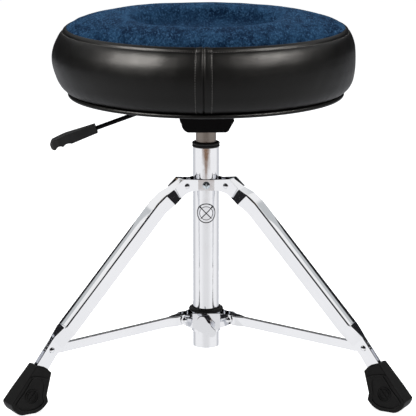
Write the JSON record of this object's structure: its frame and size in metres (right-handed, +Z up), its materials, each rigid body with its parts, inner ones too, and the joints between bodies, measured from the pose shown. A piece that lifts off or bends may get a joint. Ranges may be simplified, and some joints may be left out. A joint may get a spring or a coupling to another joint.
{
  "type": "drum throne",
  "caption": "Round padded drum throne with a swivelling gas-lift column and release lever on a folding braced chrome tripod with rubber feet.",
  "frame": {"origin": "on the column's axis, at the level of the floor", "axes": "+Z up, -Y towards the front with the wing bolt, -X towards the height lever; one leg points straight back along +Y"},
  "size_m": [0.5492, 0.5152, 0.514],
  "materials": {
    "chrome_plate": "bright nickel-chrome plate on steel",
    "satin_steel": "ground gas-lift cylinder, satin brown-grey",
    "zinc_steel": "zinc-plated steel",
    "black_steel": "black powder coat, semi-gloss",
    "black_nylon": "moulded black nylon",
    "black_rubber": "moulded matt black rubber",
    "black_leather": "fine-grain black leatherette, soft sheen",
    "blue_velour": "navy blue velour with a brushed nap",
    "seat_foam": "moulded polyurethane foam",
    "plywood": "birch plywood",
    "black_cloth": "black non-woven underside cloth"
  },
  "bodies": {
    "base": {"column_tube": "chrome_plate", "guide_bushing": "black_nylon", "column_bottom_plug": "zinc_steel", "thrust_washer": "zinc_steel", "upper_hub_plate_front": "chrome_plate", "upper_hub_plate_left": "chrome_plate", "upper_hub_plate_right": "chrome_plate", "upper_hub_screws": "zinc_steel", "leg_pivot_rivets": "chrome_plate"},
    "swivel_rod": {"piston_rod": "zinc_steel", "piston": "zinc_steel", "rod_retaining_clip": "zinc_steel"},
    "seat": {"gas_cylinder": "satin_steel", "cylinder_end_guide": "zinc_steel", "mechanism_case": "black_steel", "taper_socket": "black_steel", "lever_bracket": "black_steel", "lever_pivot_pin": "zinc_steel", "mounting_plate": "black_steel", "mount_bolts": "zinc_steel", "t_nuts": "zinc_steel", "seat_board": "plywood", "seat_foam": "seat_foam", "seat_side_cover": "black_leather", "seat_top_cover": "blue_velour", "seat_piping": "black_leather", "dust_cover": "black_cloth"},
    "lever": {"lever_rod": "black_steel", "lever_grip": "black_nylon"},
    "release_button": {"release_button": "zinc_steel"},
    "spider": {"lower_hub_plate_front": "chrome_plate", "lower_hub_plate_left": "chrome_plate", "lower_hub_plate_right": "chrome_plate", "lower_hub_sleeve": "chrome_plate", "hub_rubber_ring": "black_rubber", "strut_hub_rivets": "chrome_plate", "wing_bolt_boss": "chrome_plate"},
    "lock_shoe": {"lock_shoe": "black_nylon"},
    "wing_bolt": {"wing_bolt": "chrome_plate"},
    "leg_left": {"leg_left": "chrome_plate", "foot_left": "black_rubber", "brace_rivets_left": "chrome_plate"},
    "strut_left": {"strut_left": "chrome_plate"},
    "leg_right": {"leg_right": "chrome_plate", "foot_right": "black_rubber", "brace_rivets_right": "chrome_plate"},
    "strut_right": {"strut_right": "chrome_plate"},
    "leg_rear": {"leg_rear": "chrome_plate", "foot_rear": "black_rubber", "brace_rivets_rear": "chrome_plate"},
    "strut_rear": {"strut_rear": "chrome_plate"}
  },
  "joints": [
    {"name": "leg_left_fold", "type": "hinge", "parent": "base", "child": "leg_left", "pos_m": [-0.03204, -0.0185, 0.283], "axis": [0.5, -0.866, 0], "range_deg": [0, 38]},
    {"name": "leg_right_fold", "type": "hinge", "parent": "base", "child": "leg_right", "pos_m": [0.03204, -0.0185, 0.283], "axis": [0.5, 0.866, 0], "range_deg": [0, 38]},
    {"name": "leg_rear_fold", "type": "hinge", "parent": "base", "child": "leg_rear", "pos_m": [0, 0.037, 0.283], "axis": [-1, 0, 0], "range_deg": [0, 38]},
    {"name": "spider_slide", "type": "slide", "parent": "base", "child": "spider", "axis": [0, 0, 1], "range_m": [0, 0.104]},
    {"name": "strut_left_fold", "type": "hinge", "parent": "spider", "child": "strut_left", "pos_m": [-0.03438, -0.01985, 0.0935], "axis": [0.5, -0.866, 0], "range_deg": [0, 76.5]},
    {"name": "strut_right_fold", "type": "hinge", "parent": "spider", "child": "strut_right", "pos_m": [0.03438, -0.01985, 0.0935], "axis": [0.5, 0.866, 0], "range_deg": [0, 76.5]},
    {"name": "strut_rear_fold", "type": "hinge", "parent": "spider", "child": "strut_rear", "pos_m": [0, 0.0397, 0.0935], "axis": [-1, 0, 0], "range_deg": [0, 76.5]},
    {"name": "seat_swivel", "type": "hinge", "parent": "base", "child": "swivel_rod", "pos_m": [0, 0, 0.0641], "axis": [0, 0, 1], "continuous": true},
    {"name": "seat_height", "type": "slide", "parent": "swivel_rod", "child": "seat", "axis": [0, 0, 1], "range_m": [0, 0.14]},
    {"name": "lever_lift", "type": "hinge", "parent": "seat", "child": "lever", "pos_m": [-0.022, 0, 0.388], "axis": [0, 1, 0], "range_deg": [0, 8], "stiffness_Nm_per_rad": 1},
    {"name": "button_press", "type": "slide", "parent": "seat", "child": "release_button", "axis": [0, 0, 1], "range_m": [-0.0037, 0], "stiffness_N_per_m": 400},
    {"name": "wing_bolt_turn", "type": "hinge", "parent": "lock_shoe", "child": "wing_bolt", "pos_m": [0, -0.0215, 0.088], "axis": [0, -1, 0], "range_deg": [0, 721]},
    {"name": "lock_shoe_slide", "type": "slide", "parent": "spider", "child": "lock_shoe", "axis": [0, -1, 0], "range_m": [0, 0.0025]}
  ],
  "couplings": [
    {"joint": "leg_right_fold", "follows": "leg_left_fold", "ratio": 1},
    {"joint": "leg_rear_fold", "follows": "leg_left_fold", "ratio": 1},
    {"joint": "spider_slide", "follows": "leg_left_fold", "m_per_rad": 0.15679},
    {"joint": "strut_left_fold", "follows": "leg_left_fold", "ratio": 2.0103},
    {"joint": "strut_right_fold", "follows": "leg_left_fold", "ratio": 2.0103},
    {"joint": "strut_rear_fold", "follows": "leg_left_fold", "ratio": 2.0103},
    {"joint": "button_press", "follows": "lever_lift", "m_per_rad": -0.026},
    {"joint": "wing_bolt_turn", "follows": "lock_shoe_slide", "rad_per_m": 5026.5}
  ]
}
